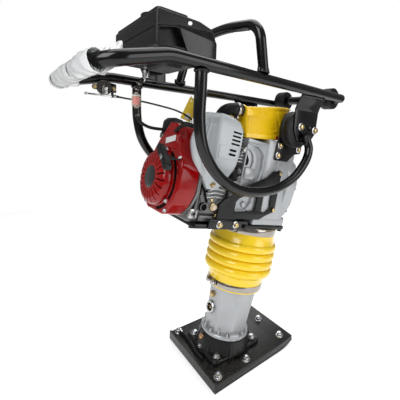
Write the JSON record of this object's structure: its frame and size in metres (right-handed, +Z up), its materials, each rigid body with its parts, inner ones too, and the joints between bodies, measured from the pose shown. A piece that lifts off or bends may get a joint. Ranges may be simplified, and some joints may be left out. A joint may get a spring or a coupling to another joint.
{
  "type": "tamping rammer",
  "caption": "Petrol tamping rammer: flat shoe, leaning spring leg with ribbed bellows, crankcase and engine, and a level tubular handle frame that carries the fuel tank.",
  "frame": {"origin": "on the ground, at the middle of the shoe's underside", "axes": "+X forward, the way the machine travels; +Y to the operator's left; +Z up"},
  "size_m": [0.8523, 0.4048, 1.0669],
  "materials": {
    "black_paint": "gloss black powder coat",
    "shoe_paint": "satin black",
    "cast_silver": "silver painted casting",
    "steel": "bright",
    "spring_steel": "satin",
    "gold_zinc": "yellow zinc plate",
    "rubber": "matt",
    "yellow_rubber": "gloss yellow",
    "yellow_plastic": "gloss yellow",
    "red_paint": "gloss red",
    "black_plastic": "matt black",
    "grey_plastic": "satin grey",
    "clear_plastic": "translucent cream"
  },
  "bodies": {
    "foot": {"sole_plate": "shoe_paint", "shoe_block": "black_plastic", "foot_casting": "black_paint", "leg_housing": "cast_silver", "leg_fill_plug": "gold_zinc", "oil_sight": "steel", "spring_lower": "spring_steel", "spring_upper": "spring_steel", "guide_bush": "steel", "lower_clamp": "steel", "bellows": "yellow_rubber"},
    "upper": {"upper_clamp": "steel", "guide_cylinder": "steel", "base_flange": "black_paint", "crankcase": "cast_silver", "crankcase_cover": "cast_silver", "clutch_housing": "cast_silver", "engine_deck": "black_paint", "side_bracket_right": "black_paint", "side_bracket_left": "black_paint", "engine_block": "cast_silver", "engine_cylinder": "cast_silver", "fan_shroud": "red_paint", "recoil_cover": "red_paint", "muffler_guard": "grey_plastic", "carburettor_box": "black_plastic", "air_filter": "yellow_plastic", "intake_elbow": "rubber", "mount_bracket_right": "black_paint", "mount_bracket_left": "black_paint", "rubber_mount_right": "rubber", "rubber_mount_left": "rubber", "mount_plate_right": "black_paint", "mount_plate_left": "black_paint", "handle_frame": "black_paint", "rear_grip": "rubber", "lifting_arch": "black_paint", "guard_hoop_right": "black_paint", "guard_hoop_left": "black_paint", "fuel_tank": "black_plastic", "fuel_tap": "steel", "fuel_filter": "clear_plastic", "fuel_hose_upper": "rubber", "fuel_hose_lower": "rubber", "throttle_housing": "grey_plastic", "throttle_cable": "rubber"},
    "ram": {"piston_rod": "steel", "wrist_pin": "steel"},
    "con_rod": {"connecting_rod": "steel"},
    "crank": {"crank_gear": "steel"},
    "pinion": {"pinion_shaft": "steel"},
    "engine_shaft": {"engine_shaft": "steel"},
    "starter_grip": {"starter_grip": "black_plastic"},
    "starter_pulley": {"starter_pulley": "black_plastic"},
    "roller_right": {"roller_right": "rubber"},
    "roller_left": {"roller_left": "rubber"},
    "throttle_lever": {"throttle_lever": "steel"},
    "fuel_cap": {"fuel_cap": "black_plastic"},
    "fuel_tap_lever": {"fuel_tap_lever": "steel"},
    "stop_switch": {"stop_switch": "black_plastic"}
  },
  "joints": [
    {"name": "ram_stroke", "type": "slide", "parent": "foot", "child": "upper", "axis": [0.1891, 0, 0.982], "range_m": [-0.03, 0.03], "stiffness_N_per_m": 40000, "springref_m": 0.0188, "deforming": ["bellows"]},
    {"name": "piston_travel", "type": "slide", "parent": "foot", "child": "ram", "axis": [0.1891, 0, 0.982], "range_m": [-0.02, 0.02], "stiffness_N_per_m": 30000, "springref_m": 0.0012, "deforming": ["spring_lower", "spring_upper"]},
    {"name": "con_rod_swing", "type": "hinge", "parent": "ram", "child": "con_rod", "pos_m": [0.04025, 0, 0.46348], "axis": [0.982, 0, -0.1891], "range_deg": [-12, 12]},
    {"name": "crank_spin", "type": "hinge", "parent": "upper", "child": "crank", "pos_m": [0.07641, 0, 0.65123], "axis": [0.982, 0, -0.1891], "continuous": true},
    {"name": "pinion_spin", "type": "hinge", "parent": "upper", "child": "pinion", "pos_m": [0.05954, -0.012, 0.56364], "axis": [0.982, 0, -0.1891], "continuous": true},
    {"name": "engine_spin", "type": "hinge", "parent": "upper", "child": "engine_shaft", "pos_m": [0.05954, -0.012, 0.56364], "axis": [0.982, 0, -0.1891], "continuous": true},
    {"name": "starter_pull", "type": "slide", "parent": "upper", "child": "starter_grip", "axis": [-0.982, 0, 0.1891], "range_m": [0, 0.06], "stiffness_N_per_m": 150, "springref_m": -0.05},
    {"name": "starter_pulley_spin", "type": "hinge", "parent": "upper", "child": "starter_pulley", "pos_m": [0.05954, -0.012, 0.56364], "axis": [0.982, 0, -0.1891], "range_deg": [0, 100]},
    {"name": "roller_right_spin", "type": "hinge", "parent": "upper", "child": "roller_right", "pos_m": [0.303, -0.108, 0.9035], "axis": [0, 1, 0], "continuous": true},
    {"name": "roller_left_spin", "type": "hinge", "parent": "upper", "child": "roller_left", "pos_m": [0.303, 0.108, 0.9035], "axis": [0, 1, 0], "continuous": true},
    {"name": "throttle", "type": "hinge", "parent": "upper", "child": "throttle_lever", "pos_m": [-0.386, 0.158, 0.864], "axis": [0, 1, 0], "range_deg": [0, 60]},
    {"name": "fuel_cap_turn", "type": "hinge", "parent": "upper", "child": "fuel_cap", "pos_m": [-0.328, -0.02, 1.006], "axis": [0, 0, 1], "range_deg": [0, 120]},
    {"name": "fuel_tap_turn", "type": "hinge", "parent": "upper", "child": "fuel_tap_lever", "pos_m": [-0.299, 0.095, 0.906], "axis": [0, 1, 0], "range_deg": [-90, 0]},
    {"name": "stop_switch_turn", "type": "hinge", "parent": "upper", "child": "stop_switch", "pos_m": [-0.20869, 0.085, 0.73343], "axis": [0.982, 0, -0.1891], "range_deg": [0, 60]}
  ],
  "couplings": [
    {"joint": "pinion_spin", "follows": "crank_spin", "ratio": -4},
    {"joint": "starter_pulley_spin", "follows": "starter_pull", "rad_per_m": 28.57}
  ]
}
